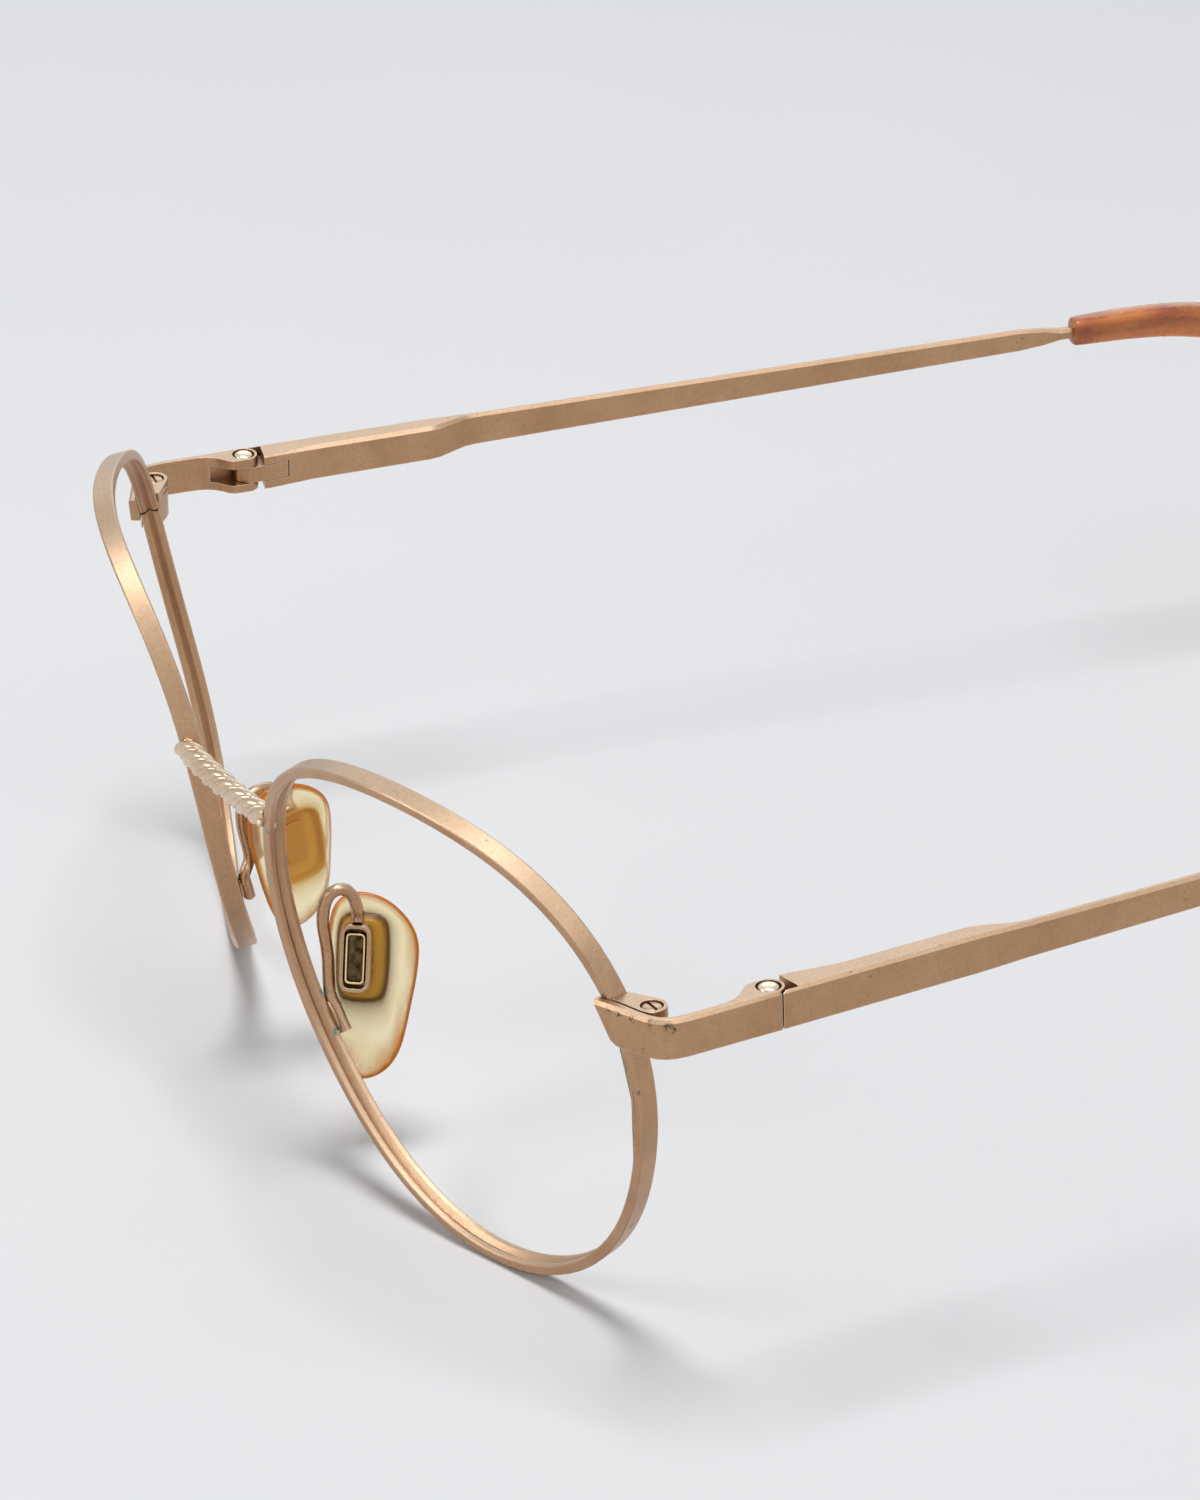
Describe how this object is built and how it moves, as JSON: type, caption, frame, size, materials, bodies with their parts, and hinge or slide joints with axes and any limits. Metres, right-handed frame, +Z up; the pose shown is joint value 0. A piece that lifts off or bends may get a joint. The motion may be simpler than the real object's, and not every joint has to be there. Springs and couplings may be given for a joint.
{
  "type": "eyeglasses frame",
  "caption": "Round wire eyeglasses frame with a twisted rope bridge, folding sprung temples with amber tips, and rocking nose pads.",
  "frame": {"origin": "on the table, under the middle of the open frame's bounding box", "axes": "-Y out of the front, +X to the wearer's left, +Y back along the temples, +Z up"},
  "size_m": [0.1226, 0.1614, 0.0491],
  "materials": {
    "frame_metal": "satin",
    "screw_metal": "polished",
    "spring_steel": "bright",
    "polished_gold": "polished",
    "acetate": "translucent gloss",
    "pad_plastic": "translucent gloss"
  },
  "bodies": {
    "front": {"bridge_rope": "frame_metal", "rim_left": "frame_metal", "closing_block_upper_left": "frame_metal", "closing_block_lower_left": "frame_metal", "closing_screw_left": "screw_metal", "end_piece_left": "frame_metal", "pivot_screw_left": "screw_metal", "pad_arm_left": "frame_metal", "pad_box_left": "frame_metal", "pad_pin_left": "screw_metal", "rim_right": "frame_metal", "closing_block_upper_right": "frame_metal", "closing_block_lower_right": "frame_metal", "closing_screw_right": "screw_metal", "end_piece_right": "frame_metal", "pivot_screw_right": "screw_metal", "pad_arm_right": "frame_metal", "pad_box_right": "frame_metal", "pad_pin_right": "screw_metal"},
    "temple_body_left": {"temple_left": "frame_metal", "temple_tip_left": "acetate", "hinge_slider_left": "frame_metal", "slider_stem_left": "spring_steel", "slider_collar_left": "spring_steel", "hinge_spring_left": "spring_steel"},
    "pad_body_left": {"nose_pad_left": "pad_plastic", "pad_insert_left": "polished_gold"},
    "temple_body_right": {"temple_right": "frame_metal", "temple_tip_right": "acetate", "hinge_slider_right": "frame_metal", "slider_stem_right": "spring_steel", "slider_collar_right": "spring_steel", "hinge_spring_right": "spring_steel"},
    "pad_body_right": {"nose_pad_right": "pad_plastic", "pad_insert_right": "polished_gold"}
  },
  "joints": [
    {"name": "temple_fold_left", "type": "hinge", "parent": "front", "child": "temple_body_left", "pos_m": [0.0592, -0.05356, 0.03548], "axis": [-0.0544, -0.0215, 0.9983], "range_deg": [0, 86]},
    {"name": "temple_fold_right", "type": "hinge", "parent": "front", "child": "temple_body_right", "pos_m": [-0.0592, -0.05356, 0.03548], "axis": [-0.0544, 0.0215, -0.9983], "range_deg": [0, 82]},
    {"name": "pad_rock_left", "type": "hinge", "parent": "front", "child": "pad_body_left", "pos_m": [0.0097, -0.07015, 0.01883], "axis": [0.5299, 0.848, 0], "range_deg": [-6, 6]},
    {"name": "pad_rock_right", "type": "hinge", "parent": "front", "child": "pad_body_right", "pos_m": [-0.01053, -0.06893, 0.0216], "axis": [-0.0752, 0.9776, 0.1967], "range_deg": [-6, 6]}
  ]
}
